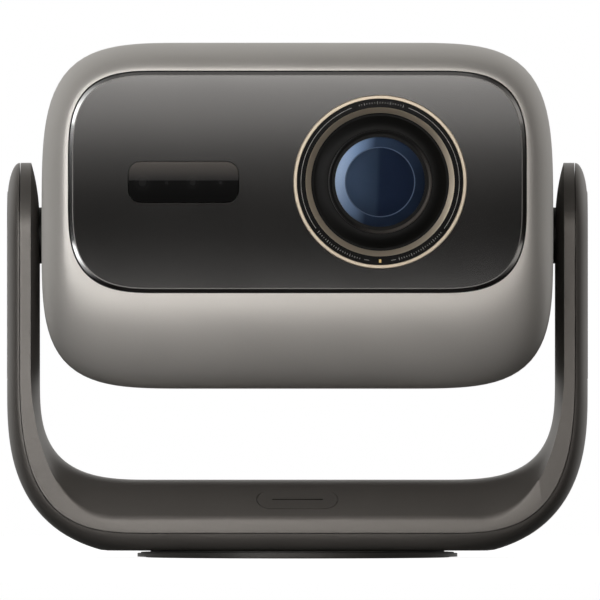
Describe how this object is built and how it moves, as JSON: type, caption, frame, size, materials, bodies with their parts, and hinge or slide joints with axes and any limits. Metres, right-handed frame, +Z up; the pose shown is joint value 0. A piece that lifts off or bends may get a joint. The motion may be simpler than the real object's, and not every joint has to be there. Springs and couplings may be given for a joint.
{
  "type": "home projector",
  "caption": "Home projector: a rounded box-shaped head with an offset zoom lens, hung by its sides in a U-shaped yoke that turns on a flat round base.",
  "frame": {"origin": "centre of the underside of the round base, on the axis about which the yoke turns", "axes": "+Z up; +X to the right seen from in front of the lens; the lens looks towards -Y"},
  "size_m": [0.3142, 0.208, 0.2781],
  "materials": {
    "silver": "metallic paint, fine grain",
    "grille": "fine perforation, dark satin",
    "smoked": "smoked, polished",
    "champagne": "turned, anodised pale gold",
    "black_gloss": "polished",
    "black": "satin",
    "glass": "coated optical glass",
    "yoke_dark": "dark metallic paint",
    "base_steel": "satin paint on steel",
    "rubber": "matt",
    "steel": "turned",
    "brass": "turned",
    "bronze": "sintered",
    "aluminium": "cast and machined",
    "board": "glass-fibre board",
    "white_light": "diffusing"
  },
  "bodies": {
    "base": {"base_plate": "base_steel", "foot_ring": "rubber", "glide_ring": "black", "pan_spindle": "steel", "tripod_insert": "brass", "base_screws": "steel", "pan_nut": "steel"},
    "yoke": {"yoke_frame": "aluminium", "yoke_outer": "yoke_dark", "yoke_inner": "yoke_dark", "arm_plate_right": "yoke_dark", "arm_plate_left": "yoke_dark", "pan_bush": "bronze", "tilt_bush_right": "bronze", "tilt_bush_left": "bronze", "key_board": "board"},
    "key": {"power_key": "yoke_dark", "key_light": "white_light"},
    "head": {"front_shell": "silver", "top_cover": "silver", "bottom_cover": "silver", "rear_cover": "silver", "grille_right": "grille", "grille_left": "grille", "cover_screws": "steel", "front_panel": "smoked", "lens_ring_outer": "champagne", "lens_band": "black_gloss", "lens_ring_inner": "champagne", "sensor_window": "smoked", "sensor_board": "board", "chassis": "aluminium", "pivot_right": "steel", "pivot_left": "steel", "tilt_nut_right": "steel", "tilt_nut_left": "steel", "speaker_right": "black", "speaker_left": "black", "light_engine": "aluminium", "laser_module": "aluminium", "cooler": "aluminium", "fan_right": "black", "fan_left": "black", "main_board": "board", "port_panel": "black", "video_sockets": "steel", "usb_socket": "steel", "audio_jack": "black", "power_inlet": "black", "stage_base": "aluminium"},
    "stage": {"shift_plate_x": "aluminium"},
    "lens": {"lens_barrel": "black", "lens_skirt": "black", "front_glass": "glass"},
    "zoom_drive": {"zoom_ring": "aluminium"},
    "zoom_cell": {"zoom_group": "glass"},
    "focus_drive": {"focus_ring": "aluminium"},
    "focus_cell": {"focus_group": "glass"},
    "fan_wheel_right": {"rotor_right": "black"},
    "fan_wheel_left": {"rotor_left": "black"}
  },
  "joints": [
    {"name": "pan_swivel", "type": "hinge", "parent": "base", "child": "yoke", "pos_m": [0, 0, 0.02], "axis": [0, 0, 1], "continuous": true},
    {"name": "head_tilt", "type": "hinge", "parent": "yoke", "child": "head", "pos_m": [0, 0, 0.17429], "axis": [-1, 0, 0], "range_deg": [-30, 105]},
    {"name": "power_key_press", "type": "slide", "parent": "yoke", "child": "key", "axis": [0, 0.6644, -0.7473], "range_m": [0, 0.0006], "stiffness_N_per_m": 900, "springref_m": -0.0006},
    {"name": "lens_shift_side", "type": "slide", "parent": "head", "child": "stage", "axis": [1, 0, 0], "range_m": [-0.005, 0.005]},
    {"name": "lens_shift_height", "type": "slide", "parent": "stage", "child": "lens", "axis": [0, 0, 1], "range_m": [-0.007, 0.007]},
    {"name": "zoom_turn", "type": "hinge", "parent": "lens", "child": "zoom_drive", "pos_m": [0.0445, -0.076, 0.20289], "axis": [0, -1, 0], "range_deg": [0, 90]},
    {"name": "zoom_travel", "type": "slide", "parent": "lens", "child": "zoom_cell", "axis": [0, 1, 0], "range_m": [0, 0.01]},
    {"name": "focus_turn", "type": "hinge", "parent": "lens", "child": "focus_drive", "pos_m": [0.0445, -0.085, 0.20289], "axis": [0, -1, 0], "range_deg": [0, 60]},
    {"name": "focus_travel", "type": "slide", "parent": "lens", "child": "focus_cell", "axis": [0, 1, 0], "range_m": [0, 0.004]},
    {"name": "fan_spin_right", "type": "hinge", "parent": "head", "child": "fan_wheel_right", "pos_m": [0.046, 0.085, 0.20289], "axis": [0, 1, 0], "continuous": true},
    {"name": "fan_spin_left", "type": "hinge", "parent": "head", "child": "fan_wheel_left", "pos_m": [-0.046, 0.085, 0.20289], "axis": [0, 1, 0], "continuous": true}
  ],
  "couplings": [
    {"joint": "zoom_travel", "follows": "zoom_turn", "m_per_rad": 0.0063025},
    {"joint": "focus_travel", "follows": "focus_turn", "m_per_rad": 0.0037242}
  ]
}
